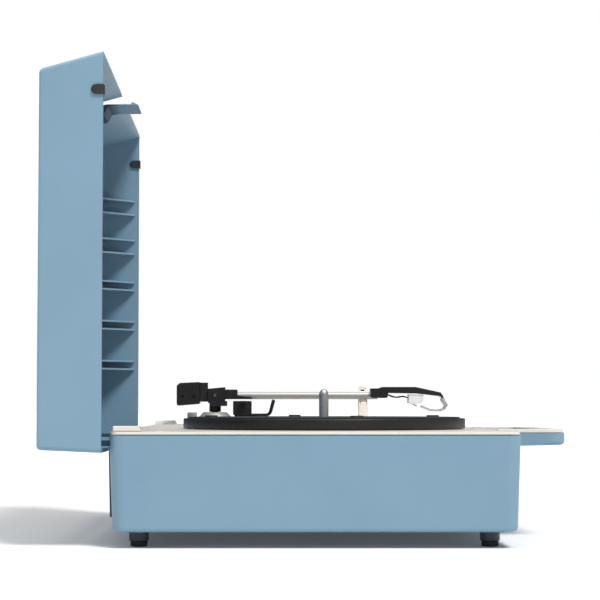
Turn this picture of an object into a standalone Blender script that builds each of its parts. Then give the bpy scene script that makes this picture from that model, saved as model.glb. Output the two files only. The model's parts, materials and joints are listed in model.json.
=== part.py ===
"""Suitcase record player with its lid standing open.

Sizes are in millimetres and become metres where a mesh is made. X runs to the player's right, the handle
faces -Y, Z is up, and the origin is on the supporting surface under the middle of the whole outline.
"""

import math

import bmesh
import bpy
from mathutils import Matrix, Vector

MM = 0.001
GAP = 0.3

# Case
HALF_WIDTH = 177.5
BASE_HALF_DEPTH = 135.9
FLOOR_Z = 10.6
RIM_Z = 73.95
BASE_DRAFT = 2.1
WALL = 2.6
DECK_TOP = 76.4
DECK_UNDER = 74.5
DECK_HALF_WIDTH = 177.0
DECK_HALF_DEPTH = 135.4

# Handle, moulded with the case
HANDLE_HALF_WIDTH = 77.5
HANDLE_FRONT = -183.1
HANDLE_UNDER = 64.9
HANDLE_TOP = DECK_UNDER - GAP
HANDLE_BAR = 16.5
HANDLE_ARM = 15.0

# Lid, standing open
LID_OPENING_Y = 140.65
LID_BACK_Y = 183.4
LID_TOP_FRONT = 329.3
LID_TOP_BACK = 317.6
LID_BOTTOM_FRONT = 62.5
LID_BOTTOM_BACK = 64.4
HINGE_Y = 131.1
HINGE_Z = 67.9
HINGE_X = 150.0
GUSSET_TOP = 264.7
GUSSET_PITCH = 34.0
GUSSET_SPACINGS = (11.8, 11.8, 6.8, 6.8, 6.8)
GUSSET_LEG = 37.5
BUMPER_Z = 303.3
NOTCH_HALF_WIDTH = 21.5
NOTCH_END_Y = 162.2
LATCH_HALF_WIDTH = 19.3
LATCH_Y = 157.0
LATCH_Z = 316.6

# Turntable
SPINDLE_X = -12.5
SPINDLE_Y = -12.0
PLATTER_RADIUS = 105.5
PLATTER_BOTTOM = 77.0
PLATTER_TOP = 84.4
MAT_TOP = 85.45
SPINDLE_RADIUS = 3.575
SPINDLE_TOP = 106.3
BELT_RING_RADIUS = 60.0
PULLEY_RADIUS = 5.0
PULLEY_DISTANCE = 83.0
PULLEY_ANGLE = math.radians(135)
PULLEY = (
    SPINDLE_X + PULLEY_DISTANCE * math.cos(PULLEY_ANGLE),
    SPINDLE_Y + PULLEY_DISTANCE * math.sin(PULLEY_ANGLE),
)
BELT_GAP = 0.3
BELT_THICKNESS = 0.8

# Tonearm, parked along Y
ARM_X = 122.5
ARM_Y = 73.0
ARM_Z = 102.3
PLINTH_TOP = 78.4
TUBE_RADIUS = 3.0
REST_Y = -50.0
REST_SEAT_Z = 94.0
CLIP_X = 128.5
CLIP_Z = 104.0
GUARD_Y = -116.0
GUARD_Z = 99.0

# Cue lift
LEVER_X = 133.5
LEVER_Z = 86.2

# Controls
KNOB_X = 150.0
KNOB_Y = 93.0
SELECTOR_X = 150.0
SELECTOR_Y = 115.2

FOOT_X = 152.5
FOOT_Y = 117.1
SPEAKER_X = 122.0
SPEAKER_Z = 43.0
GRILLE_RADIUS = 24.0
GRILLE_PITCH = 6.0

# x, z and radius of each socket in the rear wall
SOCKETS = {
    "rca_jack_left": (72.0, 34.0, 5.5),
    "rca_jack_right": (54.0, 34.0, 5.5),
    "dc_inlet": (98.0, 34.0, 6.0),
}

SIDES = (("left", -1), ("right", 1))

FINISHES = {
    "case_blue": ((0.24, 0.39, 0.51), 0.42, 0.0),
    "cream": ((0.85, 0.79, 0.68), 0.35, 0.0),
    "black_plastic": ((0.02, 0.02, 0.022), 0.4, 0.0),
    "black_rubber": ((0.015, 0.015, 0.016), 0.75, 0.0),
    "foot_grey": ((0.07, 0.09, 0.12), 0.55, 0.0),
    "knob_grey": ((0.22, 0.23, 0.22), 0.45, 0.0),
    "silver_plastic": ((0.55, 0.54, 0.51), 0.3, 0.3),
    "chrome": ((0.8, 0.8, 0.8), 0.15, 1.0),
    "steel": ((0.6, 0.6, 0.6), 0.3, 1.0),
    "brass": ((0.7, 0.5, 0.2), 0.3, 1.0),
    "white_plastic": ((0.85, 0.85, 0.83), 0.3, 0.0),
    "board_green": ((0.05, 0.2, 0.08), 0.5, 0.0),
    "paper_black": ((0.03, 0.03, 0.03), 0.9, 0.0),
    "wire_black": ((0.02, 0.02, 0.02), 0.5, 0.0),
    "wire_red": ((0.45, 0.03, 0.03), 0.5, 0.0),
    "socket_red": ((0.5, 0.02, 0.02), 0.4, 0.0),
}

# ---------------------------------------------------------------- scene and helpers

for old in list(bpy.data.objects):
    bpy.data.objects.remove(old, do_unlink=True)

PARTS = bpy.data.collections.new("suitcase_record_player")
CUTTERS = bpy.data.collections.new("cutters")
bpy.context.scene.collection.children.link(PARTS)
bpy.context.scene.collection.children.link(CUTTERS)


def placed(name, mesh, location=(0, 0, 0)):
    obj = bpy.data.objects.new(name, mesh)
    obj.location = Vector(location) * MM
    PARTS.objects.link(obj)
    return obj


def mesh_from(bm, name):
    mesh = bpy.data.meshes.new(name)
    bm.to_mesh(mesh)
    bm.free()
    return mesh


def rounded(obj, width, segments=2):
    bevel = obj.modifiers.new("rounding", "BEVEL")
    bevel.width = width * MM
    bevel.segments = segments
    bevel.limit_method = "ANGLE"
    bevel.angle_limit = math.radians(35)
    return obj


def box(name, low, high, round_by=0.0):
    """A block between two corners, its origin at its middle."""
    middle = (Vector(low) + Vector(high)) / 2
    size = (Vector(high) - Vector(low)) * MM
    bm = bmesh.new()
    bmesh.ops.create_cube(bm, size=1.0, matrix=Matrix.Diagonal((size.x, size.y, size.z, 1)))
    obj = placed(name, mesh_from(bm, name), middle)
    if round_by:
        rounded(obj, round_by)
    return obj


def rod(name, start, end, radius, sides=20):
    """A cylinder between two points on one axis."""
    run = Vector(end) - Vector(start)
    turn = run.to_track_quat("Z", "Y").to_matrix().to_4x4()
    bm = bmesh.new()
    bmesh.ops.create_cone(
        bm, cap_ends=True, segments=sides, radius1=radius * MM, radius2=radius * MM,
        depth=run.length * MM, matrix=turn,
    )
    mesh = mesh_from(bm, name)
    mesh.shade_smooth()
    mesh.set_sharp_from_angle(angle=math.radians(40))
    return placed(name, mesh, (Vector(start) + Vector(end)) / 2)


def turned(name, profile, location, steps=32, ring=False, tilt=0):
    """A profile of (radius, height) turned about its axis, which is then tilted about X by some degrees."""
    count = len(profile)
    edges = [(i, (i + 1) % count) for i in range(count if ring else count - 1)]
    mesh = bpy.data.meshes.new(name)
    mesh.from_pydata([(r * MM, 0, z * MM) for r, z in profile], edges, [])
    obj = placed(name, mesh, location)
    obj.rotation_euler.x = math.radians(tilt)
    screw = obj.modifiers.new("turning", "SCREW")
    screw.steps = steps
    screw.render_steps = steps
    screw.use_merge_vertices = True
    screw.merge_threshold = 0.00001
    screw.use_smooth_shade = True
    return obj


PLANES = {
    "xy": Matrix.Identity(4),
    "yz": Matrix(((0, 0, 1, 0), (1, 0, 0, 0), (0, 1, 0, 0), (0, 0, 0, 1))),
    "xz": Matrix(((1, 0, 0, 0), (0, 0, -1, 0), (0, 1, 0, 0), (0, 0, 0, 1))),
}


def outline(name, loops, plane, near, far, round_by=0.0):
    """A flat outline in a plane, given as closed loops, filled from near to far across the plane."""
    curve = bpy.data.curves.new(name, "CURVE")
    curve.dimensions = "2D"
    curve.fill_mode = "BOTH"
    curve.extrude = abs(far - near) / 2 * MM
    for loop in loops:
        spline = curve.splines.new("POLY")
        spline.points.add(len(loop) - 1)
        for point, (u, v) in zip(spline.points, loop):
            point.co = (u * MM, v * MM, 0, 1)
        spline.use_cyclic_u = True
    guide = placed(name + "_guide", curve)
    bpy.context.view_layer.update()
    shape = guide.evaluated_get(bpy.context.evaluated_depsgraph_get())
    mesh = bpy.data.meshes.new_from_object(shape)
    bpy.data.objects.remove(guide, do_unlink=True)
    bm = bmesh.new()
    bm.from_mesh(mesh)
    bmesh.ops.remove_doubles(bm, verts=bm.verts, dist=0.000001)
    bmesh.ops.dissolve_limit(bm, angle_limit=0.001, verts=bm.verts, edges=bm.edges)
    bmesh.ops.recalc_face_normals(bm, faces=bm.faces)
    bm.transform(PLANES[plane])
    bm.to_mesh(mesh)
    bm.free()
    mesh.name = name
    middle = (near + far) / 2
    across = {"xy": (0, 0, middle), "yz": (middle, 0, 0), "xz": (0, middle, 0)}[plane]
    obj = placed(name, mesh, across)
    if round_by:
        rounded(obj, round_by)
    return obj


def wire(name, points, radius):
    """A round wire or rod along a list of points."""
    curve = bpy.data.curves.new(name, "CURVE")
    curve.dimensions = "3D"
    curve.bevel_depth = radius * MM
    curve.bevel_resolution = 2
    curve.use_fill_caps = True
    spline = curve.splines.new("POLY")
    spline.points.add(len(points) - 1)
    for point, place in zip(spline.points, points):
        point.co = (*(Vector(place) * MM), 1)
    return placed(name, curve)


def arc(centre, radius, start, end, steps):
    """Points of an arc, angles in degrees."""
    turns = [math.radians(start + (end - start) * i / steps) for i in range(steps + 1)]
    return [(centre[0] + radius * math.cos(t), centre[1] + radius * math.sin(t)) for t in turns]


def rounded_rectangle(low, high, radius, steps=4):
    (x0, y0), (x1, y1) = low, high
    corners = ((x1, y0, -90), (x1, y1, 0), (x0, y1, 90), (x0, y0, 180))
    points = []
    for x, y, start in corners:
        inward_x = x - radius if x == x1 else x + radius
        inward_y = y - radius if y == y1 else y + radius
        points += arc((inward_x, inward_y), radius, start, start + 90, steps)
    return points


def combine(obj, operation, tools):
    """One Boolean with a group of tool objects, which leave the model."""
    group = bpy.data.collections.new(f"{obj.name}_{operation.lower()}")
    CUTTERS.children.link(group)
    for tool in tools:
        for home in list(tool.users_collection):
            home.objects.unlink(tool)
        group.objects.link(tool)
        tool.hide_render = True
        tool.display_type = "WIRE"
    step = obj.modifiers.new(operation.lower(), "BOOLEAN")
    step.operation = operation
    step.operand_type = "COLLECTION"
    step.collection = group
    step.solver = "EXACT"
    return obj


def join(obj, *tools):
    return combine(obj, "UNION", tools)


def cut(obj, *tools):
    return combine(obj, "DIFFERENCE", tools)


def pivot(name, location):
    empty = bpy.data.objects.new(name, None)
    empty.location = Vector(location) * MM
    empty.empty_display_size = 0.02
    PARTS.objects.link(empty)
    return empty


def hang(parent, *children):
    """Puts pieces under the empty on their joint's axis, without moving them."""
    for child in children:
        child.parent = parent
        child.matrix_parent_inverse = Matrix.Translation(parent.location).inverted()


def finish(kind, *objects):
    colour, roughness, metallic = FINISHES[kind]
    for obj in objects:
        material = bpy.data.materials.new(f"{obj.name}_{kind}")
        material.use_nodes = True
        shader = material.node_tree.nodes["Principled BSDF"]
        shader.inputs["Base Color"].default_value = (*colour, 1)
        shader.inputs["Roughness"].default_value = roughness
        shader.inputs["Metallic"].default_value = metallic
        obj.data.materials.append(material)


# ---------------------------------------------------------------- case


def tub(name, half_width, half_depth, low, high, draft, corner, edge):
    """An open box with drafted walls and rounded edges, solidified inwards."""
    bm = bmesh.new()
    bmesh.ops.create_cube(bm, size=2.0)
    for vert in bm.verts:
        shrink = draft if vert.co.z < 0 else 0.0
        vert.co.x = math.copysign(half_width - shrink, vert.co.x)
        vert.co.y = math.copysign(half_depth - shrink, vert.co.y)
        vert.co.z = high if vert.co.z > 0 else low
    bmesh.ops.delete(bm, geom=[f for f in bm.faces if f.normal.z > 0.9], context="FACES_ONLY")
    upright = [e for e in bm.edges if abs(e.verts[0].co.z - e.verts[1].co.z) > 1]
    bmesh.ops.bevel(bm, geom=upright, offset=corner, segments=5, profile=0.5, affect="EDGES")
    bm.normal_update()
    floor = min(bm.faces, key=lambda f: f.calc_center_median().z)
    bmesh.ops.bevel(bm, geom=list(floor.edges), offset=edge, segments=2, profile=0.5, affect="EDGES")
    bm.transform(Matrix.Scale(MM, 4))
    obj = placed(name, mesh_from(bm, name))
    shell = obj.modifiers.new("walls", "SOLIDIFY")
    shell.thickness = WALL * MM
    shell.offset = -1
    shell.use_even_offset = True
    return obj


def handle_loop(front, half_width):
    """The handle's outline and its finger gap."""
    inner = -BASE_HALF_DEPTH + 1.5
    outer = [(half_width, inner), (-half_width, inner)]
    outer += arc((-half_width + 12, front + 12), 12, 180, 270, 5)
    outer += arc((half_width - 12, front + 12), 12, 270, 360, 5)
    gap = rounded_rectangle(
        (-HANDLE_HALF_WIDTH + HANDLE_ARM, HANDLE_FRONT + HANDLE_BAR),
        (HANDLE_HALF_WIDTH - HANDLE_ARM, -BASE_HALF_DEPTH - 0.6), 5, 3,
    )
    return outer, gap


def build_case():
    base = tub("base_shell", HALF_WIDTH, BASE_HALF_DEPTH, FLOOR_Z, RIM_Z, BASE_DRAFT, 9, 3)
    outer, gap = handle_loop(HANDLE_FRONT, HANDLE_HALF_WIDTH)
    handle = outline("handle_body", [outer, gap], "xy", HANDLE_UNDER, HANDLE_TOP)
    bosses = []
    for side in (-HINGE_X, HINGE_X):
        for offset in (-11.5, 11.5):
            x = side + offset
            bosses.append(box("hinge_boss", (x - 3, 126.5, 61.5), (x + 3, BASE_HALF_DEPTH - 1, RIM_Z)))
    join(base, handle, *bosses)

    cutters = []
    for side in (-HINGE_X, HINGE_X):
        cutters.append(box("arm_slot", (side - 7, 124, 63.4), (side + 7, 140, 80)))
        cutters.append(rod("pin_bore", (side - 20, HINGE_Y, HINGE_Z), (side + 20, HINGE_Y, HINGE_Z), 1.8, 12))
    for side in (-SPEAKER_X, SPEAKER_X):
        for row in range(-3, 4):
            half = math.sqrt(GRILLE_RADIUS**2 - (row * GRILLE_PITCH) ** 2)
            z = SPEAKER_Z + row * GRILLE_PITCH
            cutters.append(box("grille_slot", (side - half, -140, z - 1.2), (side + half, -128, z + 1.2)))
    for x, z, radius in SOCKETS.values():
        cutters.append(rod("socket_hole", (x, 128, z), (x, 140, z), radius + GAP, 20))
    cut(base, *cutters)
    finish("case_blue", base)

    plate_outline = rounded_rectangle(
        (-DECK_HALF_WIDTH, -DECK_HALF_DEPTH), (DECK_HALF_WIDTH, DECK_HALF_DEPTH), 8.5, 5
    )
    deck = outline("deck_plate", [plate_outline], "xy", DECK_UNDER, DECK_TOP)
    outer, gap = handle_loop(HANDLE_FRONT + 0.4, HANDLE_HALF_WIDTH - 0.4)
    cap = outline("handle_cap", [outer, gap], "xy", DECK_UNDER, DECK_TOP + 0.4)
    skirt_outer = rounded_rectangle((-170, -128), (170, 128), 8, 3)
    skirt_inner = rounded_rectangle((-168, -126), (168, 126), 6, 3)
    skirt = outline("deck_skirt", [skirt_outer, skirt_inner], "xy", 69, DECK_UNDER + 0.5)
    plinth_side = [(-72, DECK_TOP - 0.5), (-62, PLINTH_TOP), (124, PLINTH_TOP), (133.5, DECK_TOP - 0.5)]
    plinth = outline("tonearm_plinth", [plinth_side], "yz", 97, 166)
    join(deck, cap, skirt, plinth)

    slots = [box("latch_slot", (-20.6, -126.4, 65), (20.6, -120.2, 80))]
    slots.append(box("latch_skirt_gap", (-24, -130, 65), (24, -125, DECK_UNDER - 0.01)))
    for side in (-HINGE_X, HINGE_X):
        slots.append(box("arm_slot", (side - 7, 124.5, 65), (side + 7, 140, 85)))
        slots.append(box("hinge_room", (side - 16, 123, 65), (side + 16, 140, DECK_UNDER - 0.01)))
    slots.append(rod("bush_hole", (SPINDLE_X, SPINDLE_Y, 70), (SPINDLE_X, SPINDLE_Y, 80), 6.4, 24))
    slots.append(rod("pulley_hole", (*PULLEY, 70), (*PULLEY, 80), 7.5, 24))
    slots.append(rod("arm_shaft_hole", (ARM_X, ARM_Y, 70), (ARM_X, ARM_Y, 80), 4, 16))
    slots.append(rod("volume_hole", (KNOB_X, KNOB_Y, 70), (KNOB_X, KNOB_Y, 80), 2.2, 12))
    low = (SELECTOR_X - 2, SELECTOR_Y - 9.5, 70)
    slots.append(box("selector_slot", low, (SELECTOR_X + 2, SELECTOR_Y + 2.5, 80)))
    cut(deck, *slots)
    finish("cream", deck)

    pad = outline(
        "corner_pad",
        [[(114.6, DECK_TOP + GAP), (116, 80.1), (133.3, 80.1), (133.5, DECK_TOP + GAP)]],
        "yz", -173.4, -159, 0.5,
    )
    finish("cream", pad)


def build_feet():
    for name, x, y in (
        ("front_left", -FOOT_X, -FOOT_Y), ("front_right", FOOT_X, -FOOT_Y),
        ("rear_left", -FOOT_X, FOOT_Y), ("rear_right", FOOT_X, FOOT_Y),
    ):
        top = FLOOR_Z - GAP
        collar = turned(
            f"foot_collar_{name}", [(0, top), (6.9, top), (6.7, 3.9), (6.3, 3.5), (0, 3.5)], (x, y, 0), 24
        )
        pad = turned(
            f"foot_pad_{name}", [(0, 3.2), (5.7, 3.2), (5.7, 0.9), (4.8, 0), (0, 0)], (x, y, 0), 24
        )
        finish("foot_grey", collar)
        finish("black_rubber", pad)
    for name, side in SIDES:
        x = side * 127.5
        lean = [(136.1, 64), (139.5, 63), (138.5, 18), (134.6, 17)]
        stand = outline(f"rear_stand_{name}", [lean], "yz", x - 5, x + 5, 1.0)
        finish("black_rubber", stand)


# ---------------------------------------------------------------- what the case holds


def build_speakers():
    for name, side in SIDES:
        x = side * SPEAKER_X
        frame = turned(
            f"speaker_frame_{name}",
            [(23, 0), (26.5, 0), (26.5, -2), (22, -3), (16, -12), (16, -20), (4, -20), (4, -13), (11, -10.5),
             (20, -2.5)],
            (x, -130.3, SPEAKER_Z), 28, ring=True, tilt=90,
        )
        cone = turned(
            f"speaker_cone_{name}",
            [(0, -5.5), (4, -6.5), (6, -8.6), (20.4, -0.2), (22.4, 1.1), (22.4, 0.6), (20.2, -1.2), (6, -9.4),
             (0, -9.4)],
            (x, -129.6, SPEAKER_Z), 28, tilt=90,
        )
        finish("black_plastic", frame)
        finish("paper_black", cone)


def build_electronics():
    board = box("amplifier_board", (44, 84, 24), (112, 124, 25.6))
    finish("board_green", board)
    for name in ("rca_jack_left", "rca_jack_right"):
        x, z, radius = SOCKETS[name]
        jack = turned(
            name,
            [(0, 2), (1.8, 2), (1.8, 9), (4.2, 9), (4.2, 2), (radius, 1.6), (radius, -8), (0, -8)],
            (x, 133.5, z), 20, tilt=-90,
        )
        finish("steel" if name.endswith("left") else "socket_red", jack)
    x, z, radius = SOCKETS["dc_inlet"]
    inlet = turned(
        "dc_inlet",
        [(0, 1), (1.0, 1), (1.0, -7), (3.2, -7), (3.2, 2.2), (radius + 1.2, 2.2), (radius + 1.2, 1.3),
         (radius, 1.3), (radius, -10), (0, -10)],
        (x, 134.4, z), 20, tilt=-90,
    )
    finish("black_plastic", inlet)


def build_drive():
    at = (*PULLEY, 0)
    bracket = outline(
        "motor_bracket",
        [rounded_rectangle((PULLEY[0] - 24, PULLEY[1] - 17), (PULLEY[0] + 24, PULLEY[1] + 17), 5, 3)],
        "xy", 70.6, 72.4,
    )
    feet = []
    for sx in (-1, 1):
        for sy in (-1, 1):
            x, y = PULLEY[0] + sx * 19, PULLEY[1] + sy * 12
            feet.append(rod("bracket_foot", (x, y, 71), (x, y, DECK_UNDER - GAP), 3.2, 16))
    join(bracket, *feet)
    cut(bracket, rod("shaft_hole", (*PULLEY, 66), (*PULLEY, 74), 4, 20))
    finish("steel", bracket)
    motor = turned(
        "motor",
        [(0, 73), (3, 73), (3, 70.3), (15.5, 70.3), (16.5, 69), (16.5, 48), (15.5, 47), (0, 47)],
        at, 28,
    )
    finish("steel", motor)
    pulley = turned(
        "motor_pulley",
        [(0, 80.4), (5.6, 80.4), (5.6, 80.1), (PULLEY_RADIUS, 79.9), (PULLEY_RADIUS, 78.0), (5.6, 77.8),
         (5.6, 77.2), (1.2, 77.2), (1.2, 73.3), (0, 73.3)],
        at, 24,
    )
    finish("brass", pulley)

    axis = pivot("pulley_axis", at)
    hang(axis, pulley)

    inner, outer = [], []
    lean = math.acos((BELT_RING_RADIUS - PULLEY_RADIUS) / PULLEY_DISTANCE)
    heading = math.degrees(PULLEY_ANGLE)
    wrap = math.degrees(lean)
    for loop, extra in ((inner, BELT_GAP), (outer, BELT_GAP + BELT_THICKNESS)):
        ring = BELT_RING_RADIUS + 3 + extra
        loop += arc((SPINDLE_X, SPINDLE_Y), ring, heading + wrap, heading + 360 - wrap, 40)
        loop += arc(PULLEY, PULLEY_RADIUS + extra, heading - wrap, heading + wrap, 8)
    belt = outline("drive_belt", [outer, inner], "xy", 78.3, 79.6)
    finish("black_rubber", belt)

    bush = turned(
        "spindle_bush",
        [(3.9, 76.5), (6, 76.5), (6, DECK_UNDER - GAP), (13, DECK_UNDER - GAP), (13, 72.4), (6.5, 72.4),
         (6.5, 54), (3.9, 54)],
        (SPINDLE_X, SPINDLE_Y, 0), 24, ring=True,
    )
    finish("brass", bush)


def build_platter():
    at = (SPINDLE_X, SPINDLE_Y, 0)
    ring_out = BELT_RING_RADIUS + 3
    web = PLATTER_TOP - 2.6
    hub_end = PLATTER_BOTTOM + 0.5
    platter = turned(
        "platter",
        [(3.9, PLATTER_TOP), (PLATTER_RADIUS - 0.6, PLATTER_TOP), (PLATTER_RADIUS, PLATTER_TOP - 0.6),
         (PLATTER_RADIUS, PLATTER_BOTTOM + 0.4), (PLATTER_RADIUS - 0.4, PLATTER_BOTTOM),
         (101.5, PLATTER_BOTTOM), (101.5, web), (ring_out, web), (ring_out, hub_end),
         (BELT_RING_RADIUS, hub_end), (BELT_RING_RADIUS, web), (12, web), (12, hub_end), (3.9, hub_end)],
        at, 72, ring=True,
    )
    finish("black_plastic", platter)
    mat = turned(
        "platter_mat",
        [(4.2, MAT_TOP), (101.2, MAT_TOP), (101.8, MAT_TOP - 0.4), (101.8, PLATTER_TOP + GAP),
         (4.2, PLATTER_TOP + GAP)],
        at, 72, ring=True,
    )
    dots = []
    for dx, dy in ((21, -84), (84, 20), (-21, 84), (-84, -20)):
        x, y = SPINDLE_X + dx, SPINDLE_Y + dy
        dots.append(rod("mat_dot", (x, y, MAT_TOP - 0.3), (x, y, MAT_TOP + 1.2), 4.75, 20))
    join(mat, *dots)
    finish("black_rubber", mat)
    spindle = turned(
        "spindle",
        [(0, SPINDLE_TOP), (1.6, SPINDLE_TOP - 0.4), (2.9, SPINDLE_TOP - 1.9),
         (SPINDLE_RADIUS, SPINDLE_TOP - 4.2), (SPINDLE_RADIUS, 56), (0, 56)],
        at, 24,
    )
    finish("steel", spindle)
    hang(pivot("platter_axis", at), platter, mat, spindle)


# ---------------------------------------------------------------- tonearm


def build_arm_support():
    dome = turned(
        "tonearm_base",
        [(3.2, 88.5), (9.6, 88.5), (13.2, 85.2), (15.2, 81.4), (15.6, PLINTH_TOP + GAP),
         (3.2, PLINTH_TOP + GAP)],
        (ARM_X, ARM_Y, 0), 32, ring=True,
    )
    finish("silver_plastic", dome)

    plate = box("tonearm_yoke", (ARM_X - 10, ARM_Y - 10, 93.6), (ARM_X + 10, ARM_Y + 4.4, 97.8), 0.6)
    ears = []
    for side in (-1, 1):
        ear = [(ARM_Y - 8.3, 96), (ARM_Y + 5.6, 96), (ARM_Y + 5.6, 107.9), (ARM_Y - 8.3, 109.2)]
        near, far = sorted((ARM_X + side * 7.2, ARM_X + side * 10))
        ears.append(outline("yoke_ear", [ear], "yz", near, far))
    neck = turned(
        "yoke_neck", [(0, 94), (4.85, 94), (4.85, 88.8), (2.7, 88.8), (2.7, 71), (0, 71)],
        (ARM_X, ARM_Y, 0), 24,
    )
    join(plate, *ears, neck)
    cut(plate, rod("pivot_bore", (ARM_X - 12, ARM_Y, ARM_Z), (ARM_X + 12, ARM_Y, ARM_Z), 1.8, 16))
    finish("black_plastic", plate)
    screws = []
    for name, side in SIDES:
        start = (ARM_X + side * 10.5, ARM_Y, ARM_Z)
        end = (ARM_X + side * 6.9, ARM_Y, ARM_Z)
        screws.append(rod(f"pivot_screw_{name}", start, end, 1.4, 16))
    finish("steel", *screws)
    yaw = pivot("tonearm_turn_axis", (ARM_X, ARM_Y, 0))
    hang(yaw, plate, *screws)
    return yaw


def build_arm(yaw):
    block = box("bearing_block", (ARM_X - 6.6, 54.3, 99.3), (ARM_X + 6.6, 79.5, 107.3), 0.7)
    collar = box("collar", (ARM_X - 6.6, 79, 97.2), (ARM_X + 6.6, 85.2, 113.0))
    cover_side = [(55, 99.7), (55, 102.4), (42.5, 100.5), (42.5, 99.6)]
    tongue = outline("lead_cover", [cover_side], "yz", ARM_X - 5.8, ARM_X - 3.6)
    join(block, collar, tongue)
    cut(block, rod("tube_bore", (ARM_X, 50, ARM_Z), (ARM_X, 66, ARM_Z), TUBE_RADIUS + GAP, 20))
    finish("black_plastic", block)
    weight = outline(
        "counterweight",
        [[(85.5, 95.4), (103.6, 93.9), (104.6, 95.2), (104.6, 110.4), (102.2, 112.7), (85.5, 113.5)]],
        "yz", ARM_X - 9.5, ARM_X + 9.5, 0.8,
    )
    finish("black_plastic", weight)
    tube = rod("arm_tube", (ARM_X, 65.7, ARM_Z), (ARM_X, -62, ARM_Z), TUBE_RADIUS, 24)
    finish("chrome", tube)
    profile = [
        (-56, 101.2), (-56, 108.2), (-62.5, 108.2), (-65.6, 109.4), (-93, 109.4), (-100.4, 107.8),
        (-113.7, 104.9), (-115.6, 103.2), (-117.4, 99.4), (-116.6, 98.9), (-113.6, 101.8), (-103, 103),
        (-95, 104), (-70.4, 104.4), (-70, 101), (-69.2, 100.3), (-57, 100.3),
    ]
    head = outline("headshell", [profile], "yz", ARM_X - 8, ARM_X + 8, 0.6)
    cut(
        head,
        rod("tube_socket", (ARM_X, -50, ARM_Z + 0.6), (ARM_X, -62.3, ARM_Z + 0.6), TUBE_RADIUS + 0.9, 20),
        box("tip_left", (ARM_X - 9, -120, 96), (ARM_X - 3.2, -114.2, 106)),
        box("tip_right", (ARM_X + 3.2, -120, 96), (ARM_X + 9, -114.2, 106)),
    )
    finish("black_plastic", head)
    cartridge = outline(
        "cartridge",
        [[(-87.2, 103.2), (-87.2, 95.8), (-92, 95.3), (-97.2, 96.2), (-99.6, 98.4), (-99.6, 102.9)]],
        "yz", ARM_X - 7, ARM_X + 7, 0.5,
    )
    finish("white_plastic", cartridge)
    stylus = outline(
        "stylus", [[(-90, 95.1), (-94.6, 93.2), (-95, 93.5), (-93.5, 94.9)]], "yz", ARM_X - 0.8, ARM_X + 0.8
    )
    finish("steel", stylus)
    wires = []
    for name, x, drop in (("black", ARM_X - 2.5, 0.0), ("red", ARM_X - 4.2, 0.6)):
        ends = [(-70.9, 103.2 - drop), (-73.5, 102), (-76.5, 101.1), (-80, 101.2), (-83.5, 101.3)]
        ends.append((-86.7, 100.5))
        wires.append(wire(f"head_wire_{name}", [(x, y, z) for y, z in ends], 0.5))
    finish("wire_black", wires[0])
    finish("wire_red", wires[1])
    pitch = pivot("tonearm_lift_axis", (ARM_X, ARM_Y, ARM_Z))
    pitch.parent = yaw
    pitch.matrix_parent_inverse = Matrix.Translation(yaw.location).inverted()
    hang(pitch, block, weight, tube, head, cartridge, stylus, *wires)

    under = [(-119.6, 94.0), (-117.6, 90.9), (-113.7, 89.2), (-105, 89.6), (-97.9, 92.6)]
    over = [(-118.1, 94.8), (-116.1, 91.7), (-112.2, 90.7), (-105.2, 91.2), (-98.6, 94.0)]
    guard = outline("stylus_guard", [under + over[::-1]], "yz", ARM_X - 4.8, ARM_X + 4.8)
    cheek_side = arc((GUARD_Y, GUARD_Z), 1.5, -30, 200, 8) + [(-119.9, 94.6), (-119.5, 93.4), (-117.6, 93.6)]
    cheeks = []
    for name, side in SIDES:
        near, far = sorted((ARM_X + side * 3.5, ARM_X + side * 4.8))
        cheeks.append(outline(f"guard_cheek_{name}", [cheek_side], "yz", near, far))
    join(guard, *cheeks)
    finish("white_plastic", guard)
    hang(pivot("stylus_guard_axis", (ARM_X, GUARD_Y, GUARD_Z)), guard)


def build_arm_rest():
    y0, y1 = REST_Y - 3.8, REST_Y + 3.8
    profile = [
        (117, PLINTH_TOP + GAP), (117, REST_SEAT_Z + 3), (118.2, REST_SEAT_Z + 3), (119.5, REST_SEAT_Z),
        (125.5, REST_SEAT_Z), (126.6, REST_SEAT_Z + 1.2), (126.6, CLIP_Z - 2), (130.2, CLIP_Z - 2),
        (130.2, PLINTH_TOP + GAP),
    ]
    rest = outline("arm_rest", [profile], "xz", y0, y1, 0.4)
    finish("cream", rest)
    # the clip's arm stands outside its axis, so it turns over the tube
    clip_profile = arc((CLIP_X, CLIP_Z), 1.6, 50, 340, 10)
    for out, up in ((3.4, 0.2), (3.4, 5.4), (2.6, 6.3), (1.8, 6.3), (1.8, 1.6)):
        clip_profile.append((CLIP_X + out, CLIP_Z + up))
    clip = outline("arm_rest_clip", [clip_profile], "xz", y0 + 0.4, y1 - 0.4)
    finish("cream", clip)
    hang(pivot("arm_clip_axis", (CLIP_X, REST_Y, CLIP_Z)), clip)


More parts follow.
